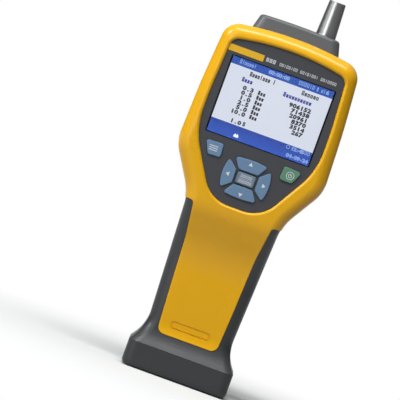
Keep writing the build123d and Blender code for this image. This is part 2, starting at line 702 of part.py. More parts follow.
def make_clip(x, radius, z):
    """Ring clip round a cylinder, on a foot that stands on the rear wall."""
    ring = rod_z(radius + 1.8, x, 0, z - 3, z + 3) - rod_z(radius + 0.05, x, 0, z - 4, z + 4)
    foot = span(x - 5, x + 5, radius + 1.0, REAR_WALL - 0.1, z - 3, z + 3)
    return ring + foot


def make_pump_head():
    width, depth, height = PUMP_HEAD
    head = Pos(PUMP_X, 0, PUMP_BOTTOM + height / 2) * Box(width, depth, height)
    head = chamfer(head.edges().filter_by(Axis.Z), 2.0)
    for offset_x in (-PUMP_PORT_OFFSET, PUMP_PORT_OFFSET):
        x = PUMP_X + offset_x
        head -= rod_z(FLOW_RADIUS, x, 0, PUMP_BOTTOM - 1, PUMP_BOTTOM + 5)
        head += barb(x, 0, PUMP_BOTTOM - 6, PUMP_BOTTOM, False)
    return head


def make_pump_motor():
    low = PUMP_BOTTOM + PUMP_HEAD[2]
    motor = rod_z(MOTOR_RADIUS, PUMP_X, 0, low, MOTOR_TOP)
    motor = fillet(motor.edges().sort_by(Axis.Z)[-1], 1.2)
    return motor + rod_z(3.2, PUMP_X, 0, MOTOR_TOP, MOTOR_TOP + 2.0)


def make_hoses():
    gap = TUBE_END_GAP
    pump_in = PUMP_X + PUMP_PORT_OFFSET
    pump_out = PUMP_X - PUMP_PORT_OFFSET
    port = PUMP_BOTTOM - gap
    inlet = [(PROBE_X, 0, PROBE_BARB_TOP - gap), (PROBE_X, 0, SENSOR_HIGH[2] + gap)]
    middle = [(PROBE_X, 0, FILTER_TOP + gap), (PROBE_X, 0, SENSOR_LOW[2] - gap)]
    loop = [
        (PROBE_X, 0, FILTER_BOTTOM - gap), (PROBE_X, 0, LOOP_BOTTOM),
        (pump_in, 0, LOOP_BOTTOM), (pump_in, 0, port),
    ]
    outlet = [(pump_out, 0, port), (pump_out, 0, VENT_Z), (pump_out, REAR_WALL - 2.0, VENT_Z)]
    return {
        "inlet_tube": tube(inlet, 0),
        "filter_tube": tube(middle, 0),
        "pump_tube": tube(loop, LOOP_RADIUS),
        "exhaust_tube": tube(outlet, LOOP_RADIUS - 1.5),
    }


# ---------------------------------------------------------------- handle and base

def make_battery():
    block = Pos(*BATTERY_CENTRE) * Box(*BATTERY)
    return fillet(block.edges().filter_by(Axis.Z), 8.0)


def socket_shell(x, size):
    """Block of a socket, standing on the connector board with its mouth to the rear."""
    width, depth, height = size
    low = CONNECTOR_BOARD_TOP
    return span(x - width / 2, x + width / 2, SOCKET_FACE - depth, SOCKET_FACE, low, low + height)


def make_network_socket():
    width, height = NETWORK_OPENING
    x = NETWORK_X
    low = NETWORK_LOW
    shell = socket_shell(x, NETWORK_SOCKET)
    shell -= span(x - width / 2, x + width / 2, SOCKET_FACE - 13, SOCKET_FACE + 1, low, low + height)
    return shell - span(x - 2, x + 2, SOCKET_FACE - 9, SOCKET_FACE + 1, low - 1, low + 1)


def make_usb_socket():
    width, height = USB_OPENING
    x = USB_X
    z = USB_MIDDLE
    back = SOCKET_FACE - USB_SOCKET[1]
    shell = socket_shell(x, USB_SOCKET)
    shell -= span(x - width / 2, x + width / 2, back + 1, SOCKET_FACE + 1, z - height / 2, z + height / 2)
    return shell + span(x - 2.5, x + 2.5, back + 0.5, SOCKET_FACE - 1, z - 0.4, z + 0.4)


def make_port_door():
    x0, x1 = PORT_DOOR_X
    axis_y, axis_z = DOOR_AXIS
    door = span(x0, x1, *PORT_DOOR_Y, *PORT_DOOR_Z)
    top = door.edges().filter_by(Axis.X).group_by(Axis.Z)[-1]
    door = fillet(top, 0.7)
    bottom = door.edges().filter_by(Axis.X).group_by(Axis.Z)[0].sort_by(Axis.Y)[-1]
    door = chamfer(bottom, 0.5)
    nail = rod_x(1.2, -6, 4, PORT_DOOR_Y[1] + 0.5, PORT_DOOR_Z[0] + 2.2)
    barrel = rod_x(1.2, x0, x1, axis_y, axis_z)
    return door + barrel - nail + rod_x(TRUNNION_RADIUS, x0 - 2.0, x1 + 2.0, axis_y, axis_z)


# ---------------------------------------------------------------- the counter

nodes = {
    "front_cover": make_front_cover(),
    "front_housing": make_front_housing(),
    "rear_housing": make_rear_housing(),
    "top_cap": make_cap(),
    "cap_plate": make_cap_plate(),
    "cap_screws": [make_cap_screw(x) for x in CAP_SCREW_X],
    "inlet_nut": make_inlet_nut(),
    "inlet_probe": make_probe(),
    "inlet_seal": Pos(PROBE_X, 0, PROBE_SEAT - 0.75) * Torus(SHAFT_RADIUS + 0.9, 0.7),
    "front_panel": make_front_panel(),
    "display_window": front(window_outline, PANEL_FRONT, PANEL_BACK),
    "display_gasket": make_gasket(),
    "display_module": front(display_outline, DISPLAY_FRONT, DISPLAY_FRONT + DISPLAY_DEPTH),
    "display_frame": make_display_frame(),
    "keypad_mat": make_mat(),
    "main_board": make_board(),
    "board_screws": make_board_screws(),
    "buzzer": rod_y(6.0, -24.0, BOARD_BACK, BOARD_BACK + 5.0, 207.0),
    "sensor_block": make_sensor_block(),
    "sensor_barbs": make_barbs(),
    "laser_module": make_laser(),
    "beam_stop": make_beam_stop(),
    "collecting_mirror": make_mirror(),
    "detector_board": make_detector_board(),
    "sensor_standoffs": make_standoffs(),
    "exhaust_filter": make_filter(),
    "filter_clip": make_clip(PROBE_X, FILTER_RADIUS, 153.0),
    "pump_head": make_pump_head(),
    "pump_motor": make_pump_motor(),
    "pump_clip": make_clip(PUMP_X, MOTOR_RADIUS, 172.0),
    "battery_pack": make_battery(),
    "battery_door": make_battery_door(),
    "door_screw": screw_cone(0) + rod_y(0.9, 0, 13.5, DOOR_SCREW_Y - 0.9, DOOR_SCREW_Z),
    "connector_board": span(-18, 16, 4.5, SOCKET_FACE - 0.5, PLINTH_FLOOR, CONNECTOR_BOARD_TOP),
    "network_socket": make_network_socket(),
    "usb_socket": make_usb_socket(),
    "charge_contacts": [rod_z(CONTACT_RADIUS, x, CONTACT_Y, 0.3, 4.6) for x in CONTACT_X],
    "port_bezel": make_port_bezel(),
    "port_door": make_port_door(),
    "housing_screws": make_housing_screws(),
}
nodes.update(make_hoses())
for name, outline in key_outlines.items():
    nodes[name] = make_key(outline)

os.makedirs("parts", exist_ok=True)
for name, shape in nodes.items():
    solids = shape if isinstance(shape, list) else shape.solids()
    piece = Compound(children=list(solids)) if len(solids) > 1 else solids[0]
    export_step(piece, f"parts/{name}.step")
    print(name, len(solids), round(piece.volume))
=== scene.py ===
import math

import bmesh
import bpy
from mathutils import Matrix, Vector


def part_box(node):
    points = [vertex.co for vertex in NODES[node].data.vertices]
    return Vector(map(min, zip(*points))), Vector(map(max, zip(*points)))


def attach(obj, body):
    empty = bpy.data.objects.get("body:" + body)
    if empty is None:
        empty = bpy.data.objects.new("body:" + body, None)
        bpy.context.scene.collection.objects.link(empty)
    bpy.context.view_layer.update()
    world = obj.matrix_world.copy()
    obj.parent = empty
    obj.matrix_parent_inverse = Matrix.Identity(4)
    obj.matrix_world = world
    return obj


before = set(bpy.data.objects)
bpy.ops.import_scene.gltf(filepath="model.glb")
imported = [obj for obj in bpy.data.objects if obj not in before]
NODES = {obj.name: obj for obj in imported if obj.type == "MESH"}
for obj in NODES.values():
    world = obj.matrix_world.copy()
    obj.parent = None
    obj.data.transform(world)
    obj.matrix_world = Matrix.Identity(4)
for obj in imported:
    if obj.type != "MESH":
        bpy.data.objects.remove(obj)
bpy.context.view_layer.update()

# A hand-held airborne particle counter. The CAD nodes carry the form; this script gives every
# surface its finish and adds the display's picture, the keys' symbols and the panel's print.
# Places on the front are (x, z) in millimetres; everything handed to Blender is in metres.

MM = 0.001
HOUSING = "housing"

SCREEN_CENTRE = (0.0, 186.7)
SCREEN_SIZE = (69.5, 51.2)
HEADER_HEIGHT = 5.0
FOOTER_HEIGHT = 9.1
INK_THICKNESS = 0.03
INK_LIFT = 0.01             # gap under ink, so that no two faces share a plane


# ------------------------------------------------------------------ node graph helpers

class Graph:
    """A small wrapper that adds and links shader nodes."""

    def __init__(self, tree):
        self.tree = tree
        tree.nodes.clear()

    def add(self, kind, inputs=None, **settings):
        node = self.tree.nodes.new(kind)
        for key, value in settings.items():
            setattr(node, key, value)
        for key, value in (inputs or {}).items():
            if isinstance(value, bpy.types.NodeSocket):
                self.tree.links.new(value, node.inputs[key])
            else:
                node.inputs[key].default_value = value
        return node

    def math(self, operation, a, b=0.0, clamp=False):
        node = self.add("ShaderNodeMath", {0: a, 1: b}, operation=operation, use_clamp=clamp)
        return node.outputs[0]

    def remap(self, value, low, high, to_low, to_high):
        node = self.add("ShaderNodeMapRange", {
            "Value": value, "From Min": low, "From Max": high, "To Min": to_low, "To Max": to_high,
        })
        return node.outputs["Result"]

    def mix(self, factor, a, b):
        node = self.add("ShaderNodeMix", data_type="RGBA")
        for socket, value in ((node.inputs["Factor"], factor), (node.inputs[6], a), (node.inputs[7], b)):
            if isinstance(value, bpy.types.NodeSocket):
                self.tree.links.new(value, socket)
            else:
                socket.default_value = value
        return node.outputs[2]

    def noise(self, scale, detail=3.0, roughness=0.5, stretch=None):
        position = self.add("ShaderNodeTexCoord").outputs["Object"]
        if stretch:
            position = self.add("ShaderNodeMapping", {"Vector": position, "Scale": stretch}).outputs[0]
        node = self.add("ShaderNodeTexNoise", {
            "Vector": position, "Scale": scale, "Detail": detail, "Roughness": roughness,
        })
        return node.outputs["Fac"]

    def height(self):
        """Height above the floor, in metres."""
        position = self.add("ShaderNodeTexCoord").outputs["Object"]
        return self.add("ShaderNodeSeparateXYZ", {"Vector": position}).outputs["Z"]

    def edge(self, radius):
        """1 on sharp convex edges and 0 on faces."""
        bevel = self.add("ShaderNodeBevel", {"Radius": radius}, samples=4)
        normal = self.add("ShaderNodeNewGeometry").outputs["Normal"]
        dot = self.add("ShaderNodeVectorMath", {0: bevel.outputs[0], 1: normal}, operation="DOT_PRODUCT")
        return self.remap(dot.outputs["Value"], 1.0, 0.8, 0.0, 1.0)

    def bump(self, height, distance, strength=1.0):
        inputs = {"Height": height, "Distance": distance, "Strength": strength}
        return self.add("ShaderNodeBump", inputs).outputs["Normal"]

    def surface(self, **inputs):
        """Close the material with a Principled shader; a socket's spaces are written as _."""
        shader = self.add("ShaderNodeBsdfPrincipled")
        for key, value in inputs.items():
            socket = shader.inputs[key.replace("_", " ")]
            if isinstance(value, bpy.types.NodeSocket):
                self.tree.links.new(value, socket)
            else:
                socket.default_value = value
        self.add("ShaderNodeOutputMaterial", {"Surface": shader.outputs[0]})


def new_material(name):
    material = bpy.data.materials.new(name)
    material.use_nodes = True
    return material, Graph(material.node_tree)


def rgba(colour, gain=1.0):
    return (colour[0] * gain, colour[1] * gain, colour[2] * gain, 1.0)


# ------------------------------------------------------------------ materials

FLOW_TINT = 0.06            # share by which a moulding's colour varies along its flow marks
SCUFF_LEVEL = 0.5
WORN_EDGE = 0.5             # width of a rubbed edge, in mm


def moulded(name, colour, rough, specular=0.4, grain=0.35, grain_depth=0.012, wear=0.25, worn=None):
    """Injection-moulded plastic: spark-eroded grain, faint flow marks, rubbed edges and light scuffs.

    grain is the grain's size in mm and grain_depth its depth in mm.
    """
    material, g = new_material(name)
    flow = g.noise(16.0, 4.0, 0.55)
    tint = g.mix(flow, rgba(colour, 1.0 - FLOW_TINT), rgba(colour, 1.0 + FLOW_TINT))
    fine = g.noise(1000.0 / grain, 2.0, 0.6)
    scratch = g.noise(260.0, 5.0, 0.65, stretch=(1.0, 1.0, 0.08))
    rubbed = g.remap(scratch, 0.60, 0.72, 0.0, SCUFF_LEVEL)
    edge = g.math("MULTIPLY", g.edge(WORN_EDGE * MM), g.remap(g.noise(120.0, 4.0), 0.35, 0.65, 0.3, 1.0))
    worn_colour = rgba(worn or colour, 1.0 if worn else 1.35)
    tint = g.mix(g.math("MULTIPLY", edge, wear, clamp=True), tint, worn_colour)
    tint = g.mix(g.math("MULTIPLY", rubbed, 0.12, clamp=True), tint, worn_colour)
    gloss = g.remap(flow, 0.3, 0.7, rough - 0.05, rough + 0.05)
    gloss = g.math("SUBTRACT", gloss, g.math("MULTIPLY", rubbed, 0.12), clamp=True)
    normal = g.bump(fine, grain_depth * MM)
    g.surface(Base_Color=tint, Roughness=gloss, Normal=normal, Specular_IOR_Level=specular)
    return material


def rubber(name, colour, rough):
    """Matt rubber, mottled and lightly dusty."""
    material, g = new_material(name)
    mottled = g.noise(60.0, 5.0, 0.6)
    dust = g.remap(g.noise(35.0, 6.0, 0.7), 0.55, 0.8, 0.0, 0.25)
    tint = g.mix(mottled, rgba(colour, 0.85), rgba(colour, 1.15))
    tint = g.mix(dust, tint, rgba((0.30, 0.29, 0.27)))
    normal = g.bump(g.noise(1800.0, 2.0), 0.02 * MM)
    g.surface(Base_Color=tint, Roughness=g.remap(mottled, 0.3, 0.7, rough - 0.06, rough + 0.06),
              Normal=normal, Specular_IOR_Level=0.3)
    return material


def silicone(name, colour):
    """Cloudy silicone that lets some light through."""
    material, g = new_material(name)
    cloud = g.noise(70.0, 3.0)
    tint = g.mix(cloud, rgba(colour, 0.92), rgba(colour, 1.05))
    g.surface(Base_Color=tint, Roughness=g.remap(cloud, 0.3, 0.7, 0.28, 0.4), Transmission_Weight=0.25,
              IOR=1.41, Normal=g.bump(g.noise(900.0), 0.01 * MM))
    return material


def metal(name, colour, rough, lines=(1.0, 1.0, 60.0), line_scale=30.0, depth=0.004, stain=0.08,
          uneven=0.25):
    """Turned or ground metal, with fine tool lines across the stretched direction."""
    material, g = new_material(name)
    line = g.noise(line_scale, 4.0, 0.7, stretch=lines)
    cloud = g.noise(45.0, 4.0, 0.6)
    tint = g.mix(g.remap(cloud, 0.35, 0.75, 0.0, 1.0), rgba(colour), rgba(colour, 1.0 - stain))
    gloss = g.math("ADD", g.remap(line, 0.3, 0.7, rough * (1.0 - uneven), rough * (1.0 + uneven)),
                   g.remap(cloud, 0.5, 0.8, 0.0, 0.06), clamp=True)
    g.surface(Base_Color=tint, Metallic=1.0, Roughness=gloss, Normal=g.bump(line, depth * MM))
    return material


def board(name):
    """Printed circuit board: solder mask over a grid of tracks."""
    material, g = new_material(name)
    position = g.add("ShaderNodeTexCoord").outputs["Object"]
    tracks = g.add("ShaderNodeTexBrick", {
        "Vector": position, "Scale": 220.0, "Mortar Size": 0.02, "Color1": rgba((0.012, 0.10, 0.035)),
        "Color2": rgba((0.016, 0.13, 0.045)), "Mortar": rgba((0.03, 0.2, 0.07)),
    })
    cloud = g.noise(80.0, 3.0)
    tint = g.mix(g.remap(cloud, 0.3, 0.7, 0.0, 0.35), tracks.outputs["Color"], rgba((0.01, 0.08, 0.03)))
    g.surface(Base_Color=tint, Roughness=g.remap(cloud, 0.3, 0.7, 0.3, 0.42),
              Normal=g.bump(tracks.outputs["Fac"], 0.03 * MM, 0.6))
    return material


def glass(name):
    """Clear display window with faint smears."""
    material, g = new_material(name)
    smear = g.noise(40.0, 6.0, 0.65)
    g.surface(Base_Color=(0.97, 0.98, 0.99, 1.0), Transmission_Weight=1.0, IOR=1.45,
              Roughness=g.remap(smear, 0.45, 0.75, 0.0, 0.05))
    return material


def glowing(name, colour, banding=0.04, deep=None, span=0.0):
    """Lit area of the display: a glow with faint unevenness and the pixel grid.

    With deep, the colour turns from colour at the display's bottom edge to deep span mm above it, and stays
    deep higher up.
    """
    material, g = new_material(name)
    cloud = g.noise(25.0, 3.0)
    tint = g.mix(cloud, rgba(colour, 1.0 - banding), rgba(colour, 1.0 + banding))
    if deep:
        low = (SCREEN_CENTRE[1] - SCREEN_SIZE[1] / 2) * MM
        tint = g.mix(g.remap(g.height(), low, low + span * MM, 0.0, 1.0), tint, rgba(deep))
    position = g.add("ShaderNodeTexCoord").outputs["Object"]
    grid = g.add("ShaderNodeTexWave", {"Vector": position, "Scale": 900.0}, bands_direction="X")
    glow = g.mix(g.math("MULTIPLY", grid.outputs["Fac"], 0.04), tint, rgba(colour, 0.8))
    g.surface(Base_Color=(0.02, 0.02, 0.02, 1.0), Roughness=0.4, Specular_IOR_Level=0.0, Emission_Color=glow,
              Emission_Strength=1.0)
    return material


def ink(name, colour, rough=0.55):
    """Screen-printed ink, slightly uneven."""
    material, g = new_material(name)
    cloud = g.noise(300.0, 4.0, 0.6)
    tint = g.mix(cloud, rgba(colour, 0.9), rgba(colour, 1.06))
    g.surface(Base_Color=tint, Roughness=g.remap(cloud, 0.3, 0.7, rough - 0.06, rough + 0.06),
              Normal=g.bump(g.noise(1500.0), 0.006 * MM), Specular_IOR_Level=0.35)
    return material


def dress(material, *names):
    """Give CAD nodes a material, in every slot."""
    for name in names:
        node = NODES[name]
        if not node.material_slots:
            node.data.materials.append(material)
        for slot in node.material_slots:
            slot.material = material


YELLOW = (0.89, 0.450, 0.004)
DARK = (0.032, 0.034, 0.037)
# The cap's grey is partly its own dark grey and partly painted light: it is set well above DARK to stand for
# the sheen that the cap's upturned face catches.
CAP_GREY_WITH_PAINTED_SHEEN = (0.098, 0.101, 0.106)
PANEL = (0.060, 0.060, 0.069)
KEY_BLUE = (0.155, 0.260, 0.415)
KEY_PALE = (0.16, 0.225, 0.31)
KEY_GREEN = (0.120, 0.270, 0.180)

yellow = moulded("yellow_moulding", YELLOW, 0.28, specular=0.42, grain_depth=0.006,
                 worn=(0.88, 0.52, 0.08))
dark = moulded("dark_moulding", DARK, 0.42, specular=0.5, grain_depth=0.022,
               worn=(0.12, 0.12, 0.125), wear=0.4)
# The cap's base colour here is partly painted sheen, from the cap grey above.
cap_dark = moulded("cap_moulding_with_painted_sheen", CAP_GREY_WITH_PAINTED_SHEEN, 0.42, specular=0.5, worn=(0.22, 0.22, 0.225), wear=0.4)
panel_dark = moulded("panel_moulding", PANEL, 0.52, specular=0.3, grain=0.2, grain_depth=0.006,
                     worn=(0.1, 0.1, 0.11))
key_blue = moulded("blue_key", KEY_BLUE, 0.5, specular=0.3, grain=0.25, grain_depth=0.006,
                   worn=(0.26, 0.38, 0.52), wear=0.5)
key_light = moulded("enter_key", KEY_PALE, 0.5, specular=0.3, grain=0.25, grain_depth=0.006,
                    worn=(0.32, 0.42, 0.54), wear=0.5)
key_green = moulded("green_key", KEY_GREEN, 0.5, specular=0.3, grain=0.25, grain_depth=0.006,
                    worn=(0.2, 0.42, 0.3), wear=0.5)
white_plastic = moulded("white_moulding", (0.62, 0.62, 0.6), 0.5)
black_plastic = moulded("black_moulding", (0.02, 0.02, 0.021), 0.5)
black_rubber = rubber("black_rubber", (0.025, 0.025, 0.027), 0.7)
soft_clear = silicone("clear_silicone", (0.6, 0.62, 0.65))
hose = silicone("hose_silicone", (0.72, 0.75, 0.77))
probe_steel = metal("turned_steel", (0.60, 0.60, 0.60), 0.3, lines=(1.0, 1.0, 80.0), depth=0.0001,
                    stain=0.03, uneven=0.08)
zinc = metal("zinc_plate", (0.55, 0.56, 0.58), 0.32, lines=(1.0, 1.0, 1.0), line_scale=600.0)
brass = metal("turned_brass", (0.62, 0.44, 0.16), 0.28)
gold = metal("gold_plate", (0.83, 0.58, 0.2), 0.2, lines=(1.0, 1.0, 1.0), line_scale=400.0)
mirror = metal("mirror_metal", (0.85, 0.85, 0.86), 0.04, depth=0.001)
anodised = metal("black_anodised", (0.035, 0.035, 0.04), 0.42, lines=(1.0, 1.0, 8.0), line_scale=200.0)
motor_case = metal("nickel_plate", (0.5, 0.5, 0.5), 0.25)
pcb = board("circuit_board")
wrap = ink("battery_wrap_film", (0.02, 0.08, 0.28), 0.35)
window = glass("display_glass_sheet")
cell = ink("display_border", (0.004, 0.007, 0.03), 0.3)

dress(yellow, "front_cover")
dress(dark, "front_housing", "rear_housing", "battery_door", "port_bezel")
dress(cap_dark, "top_cap")
dress(panel_dark, "front_panel")
dress(key_blue, "key_menu", "key_up", "key_down", "key_left", "key_right")
dress(key_light, "key_enter")
dress(key_green, "key_power")
dress(window, "display_window")
dress(cell, "display_module")
dress(white_plastic, "display_frame", "buzzer", "exhaust_filter")
dress(black_plastic, "filter_clip", "pump_clip", "pump_head", "network_socket")
dress(black_rubber, "port_door", "inlet_seal", "display_gasket")
dress(soft_clear, "keypad_mat")
dress(hose, "inlet_tube", "filter_tube", "pump_tube", "exhaust_tube")
dress(probe_steel, "inlet_probe")
dress(zinc, "board_screws", "housing_screws", "cap_screws", "door_screw", "cap_plate", "inlet_nut",
      "usb_socket")
dress(brass, "sensor_barbs", "laser_module", "sensor_standoffs")
dress(gold, "charge_contacts")
dress(mirror, "collecting_mirror")
dress(anodised, "sensor_block", "beam_stop")
dress(motor_case, "pump_motor")
dress(pcb, "main_board", "connector_board", "detector_board")
dress(wrap, "battery_pack")


# ------------------------------------------------------------------ printed and lit shapes

def prism(mesh, outline, y_front):
    """Add one plate, as thick as ink, to a bmesh from a closed (x, z) outline in mm."""
    front = [mesh.verts.new((x * MM, y_front * MM, z * MM)) for x, z in outline]
    back = [mesh.verts.new((x * MM, (y_front + INK_THICKNESS) * MM, z * MM)) for x, z in outline]
    mesh.faces.new(front)
    mesh.faces.new(list(reversed(back)))
    count = len(outline)
    for i in range(count):
        j = (i + 1) % count
        mesh.faces.new((front[j], front[i], back[i], back[j]))


def plates(name, outlines, y_front, material, body):
    """One piece made of thin plates, riding a body."""
    mesh = bmesh.new()
    for outline in outlines:
        prism(mesh, outline, y_front)
    bmesh.ops.recalc_face_normals(mesh, faces=mesh.faces)
    data = bpy.data.meshes.new(name)
    mesh.to_mesh(data)
    mesh.free()
    return add_piece(name, data, material, body)


def add_piece(name, data, material, body):
    """Put a mesh in the scene with its material, riding a body."""
    piece = bpy.data.objects.new(name, data)
    bpy.context.scene.collection.objects.link(piece)
    data.materials.clear()
    data.materials.append(material)
    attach(piece, body)
    return piece


def rect(x0, x1, z0, z1, radius=0.0):
    """Rectangle outline, with rounded corners if it has a radius."""
    if radius <= 0:
        return [(x0, z0), (x1, z0), (x1, z1), (x0, z1)]
    points = []
    steps = 4
    for cx, cz, start in ((x1 - radius, z0 + radius, -90), (x1 - radius, z1 - radius, 0),
                          (x0 + radius, z1 - radius, 90), (x0 + radius, z0 + radius, 180)):
        for step in range(steps + 1):
            angle = math.radians(start + step * 90 / steps)
            points.append((cx + radius * math.cos(angle), cz + radius * math.sin(angle)))
    return points


def ring(cx, cz, outer, inner, start=0.0, sweep=360.0, steps=32):
    """Short pieces of a ring, each a closed outline."""
    outlines = []
    for step in range(steps):
        a0 = math.radians(start + sweep * step / steps)
        a1 = math.radians(start + sweep * (step + 1) / steps)
        outlines.append([
            (cx + r * math.cos(a), cz + r * math.sin(a))
            for r, a in ((inner, a0), (outer, a0), (outer, a1), (inner, a1))
        ])
    return outlines


LOW_MARK = 0.72             # height of a low mark over a tall one
MARK_WIDTH = 0.78           # width of a mark over its pitch


def mock_word(x, z, pattern, height, pitch, stroke=0.42):
    """Shapes that stand for a word: l is a tall bar, o a low frame, e a low frame with a bar
    across it, T a tall frame, and a space is a gap."""
    outlines = []
    for place, mark in enumerate(pattern):
        if mark == " ":
            continue
        tall = height if mark in "lT" else height * LOW_MARK
        left = x + place * pitch
        right = left + pitch * MARK_WIDTH
        if mark == "l":
            middle = (left + right) / 2
            outlines.append(rect(middle - stroke / 2, middle + stroke / 2, z, z + tall))
            continue
        outlines.append(rect(left, left + stroke, z, z + tall))
        outlines.append(rect(right - stroke, right, z, z + tall))
        rungs = [z, z + tall - stroke]
        if mark == "e":
            rungs.append(z + (tall - stroke) / 2)
        for rung in rungs:
            outlines.append(rect(left + stroke, right - stroke, rung, rung + stroke))
    return outlines


FONT_SIZE = 1.42            # font size over the height of its figures
FIGURE_WEIGHT = 0.06        # how far a stroke is thickened, over the font size
FIGURE_WIDENING = 1.25


def digit_mesh(text, size):
    """Filled outline of one figure in Blender's own plain font, as a thin solid at the origin."""
    curve = bpy.data.curves.new("figure", "FONT")
    curve.body = text
    curve.size = size * MM
    curve.extrude = INK_THICKNESS / 2 * MM
    curve.resolution_u = 2
    curve.offset = FIGURE_WEIGHT * size * MM
    holder = bpy.data.objects.new("figure", curve)
    bpy.context.scene.collection.objects.link(holder)
    bpy.context.view_layer.update()
    data = bpy.data.meshes.new_from_object(holder)
    bpy.data.objects.remove(holder)
    bpy.data.curves.remove(curve)
    return data


def figures(name, items, y_front, material):
    """One piece of the housing made of figures; items are (text, left x, base z, height, pitch)."""
    mesh = bmesh.new()
    cache = {}
    for text, x, z, height, pitch in items:
        size = height * FONT_SIZE
        for place, mark in enumerate(text):
            if (mark, size) not in cache:
                cache[mark, size] = digit_mesh(mark, size)
            data = cache[mark, size].copy()
            data.transform(Matrix.Scale(FIGURE_WIDENING, 4, (1, 0, 0)))
            xs = [v.co.x for v in data.vertices]
            middle = (min(xs) + max(xs)) / 2
            place_x = (x + (place + 0.5) * pitch) * MM - middle
            turn = Matrix.Rotation(math.radians(90), 4, "X")
            data.transform(Matrix.Translation((place_x, (y_front + INK_THICKNESS / 2) * MM, z * MM)) @ turn)
            mesh.from_mesh(data)
            bpy.data.meshes.remove(data)
    data = bpy.data.meshes.new(name)
    mesh.to_mesh(data)
    mesh.free()
    for figure in cache.values():
        bpy.data.meshes.remove(figure)
    return add_piece(name, data, material, HOUSING)


# ------------------------------------------------------------------ display

# The table's rows: each channel's size and its count. Heights are in mm from the display's centre.
CHANNELS = (("0.3", "906152"), ("0.5", "71438"), ("1.0", "20961"), ("2.5", "8370"), ("5.0", "3514"),
            ("10.0", "267"))
FIRST_ROW = 6.9
ROW_PITCH = 3.3
TITLE_LINE = 16.4
LABEL_LINE = 11.6
VOLUME_LINE = -15.5
HEADER_LINE = 22.2
STAMP_LINE = 22.3
CLOCK_LINE = -19.2
DATE_LINE = -24.2


def build_display():
    """The lit picture: header and footer bars, a pale field, table of figures and mock words."""
    x0, z0 = SCREEN_CENTRE
    half_w, half_h = SCREEN_SIZE[0] / 2, SCREEN_SIZE[1] / 2
    cell_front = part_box("display_module")[0][1] / MM - INK_LIFT - INK_THICKNESS
    ink_front = cell_front - INK_LIFT - INK_THICKNESS

    pale = glowing("display_pale", (0.70, 0.74, 0.85))
    blue = glowing("display_blue", (0.012, 0.085, 0.53), 0.10, deep=(0.002, 0.045, 0.35), span=FOOTER_HEIGHT)
    header_blue = glowing("display_header_blue", (0.004, 0.07, 0.41), 0.12)
    black = glowing("display_black", (0.005, 0.005, 0.01))
    violet = glowing("display_violet", (0.015, 0.01, 0.30))
    white = glowing("display_white", (0.24, 0.38, 0.80))
    bright = glowing("display_bright", (0.95, 0.96, 1.0))

    top, bottom = z0 + half_h, z0 - half_h
    field = rect(x0 - half_w, x0 + half_w, bottom + FOOTER_HEIGHT, top - HEADER_HEIGHT)
    plates("display_field", [field], cell_front, pale, HOUSING)
    header_bar = rect(x0 - half_w, x0 + half_w, top - HEADER_HEIGHT + 0.01, top)
    plates("display_header", [header_bar], cell_front, header_blue, HOUSING)
    footer_bar = rect(x0 - half_w, x0 + half_w, bottom, bottom + FOOTER_HEIGHT - 0.01)
    plates("display_footer", [footer_bar], cell_front, blue, HOUSING)

    words = mock_word(x0 - 20.6, z0 + TITLE_LINE, "Toeolooe l", 3.1, 1.76, 0.62)
    words += mock_word(x0 + 15.0, z0 + TITLE_LINE, "Teooeo", 3.1, 2.0, 0.62)
    for row in range(len(CHANNELS)):
        words += mock_word(x0 - 11.6, z0 + FIRST_ROW - ROW_PITCH * row, "Too", 2.8, 1.75, 0.7)
    words += mock_word(x0 - 14.0, z0 + VOLUME_LINE, "T", 2.8, 1.9, 0.66)
    plates("display_words", words, ink_front, black, HOUSING)

    labels = mock_word(x0 - 24.3, z0 + LABEL_LINE, "Teoe", 3.0, 1.85, 0.7)
    labels += mock_word(x0 + 4.1, z0 + LABEL_LINE, "Teoeooeooe", 3.0, 1.95, 0.7)
    plates("display_labels", labels, ink_front, violet, HOUSING)

    size_pitch, count_pitch = 2.45, 2.5
    rows = []
    for row, (size, count) in enumerate(CHANNELS):
        z = z0 + FIRST_ROW - ROW_PITCH * row
        rows.append((size, x0 - 14.6 - size_pitch * len(size), z, 2.55, size_pitch))
        rows.append((count, x0 + 24.8 - count_pitch * len(count), z, 2.55, count_pitch))
    rows.append(("1.0", x0 - 22.6, z0 + VOLUME_LINE, 2.45, 2.5))
    figures("display_figures", rows, ink_front, black)

    pale_words = mock_word(x0 - 29.4, z0 + HEADER_LINE, "Tlooeel", 2.6, 1.62)
    pale_words += mock_word(x0 + 11.0, z0 + HEADER_LINE, "TTTTlT", 2.6, 1.85)
    pale_words += mock_word(x0 + 26.4, z0 + HEADER_LINE, "ol", 2.6, 1.5)
    pale_words += ring(x0 + 18.6, z0 - 18.1, 1.3, 0.9, steps=14)
    pale_words += mock_word(x0 + 30.0, z0 + CLOCK_LINE, "TT", 2.4, 1.95)
    plates("display_header_words", pale_words, ink_front, white, HOUSING)
    stamps = [
        ("00:00:00", x0 - 9.6, z0 + STAMP_LINE, 2.3, 1.75),
        ("1", x0 + 23.0, z0 + STAMP_LINE, 2.3, 1.75), ("6", x0 + 29.8, z0 + STAMP_LINE, 2.3, 1.75),
        ("12:45", x0 + 20.8, z0 + CLOCK_LINE, 2.2, 1.75),
        ("04-09-24", x0 + 19.0, z0 + DATE_LINE, 2.2, 1.85),
    ]
    figures("display_stamps", stamps, ink_front, white)
    icon = [rect(x0 - 17.2, x0 - 13.9, z0 - 23.9, z0 - 22.2, 0.5),
            rect(x0 - 16.6, x0 - 15.8, z0 - 22.25, z0 - 21.6, 0.2),
            rect(x0 - 15.3, x0 - 14.5, z0 - 22.25, z0 - 21.6, 0.2)]
    plates("display_icon", icon, ink_front, bright, HOUSING)


# ------------------------------------------------------------------ panel print and key symbols

CLUSTER_Z = 139.2           # middle of the enter key, with the arrow keys round it
UP_ARROW_Z = 149.6
DOWN_ARROW_Z = 128.8
SIDE_ARROW_X = 12.4
ARROW_SIZE = 2.6
POWER_CENTRE = (26.2, 151.4)
MENU_BARS_Z = (149.9, 151.3, 152.7)


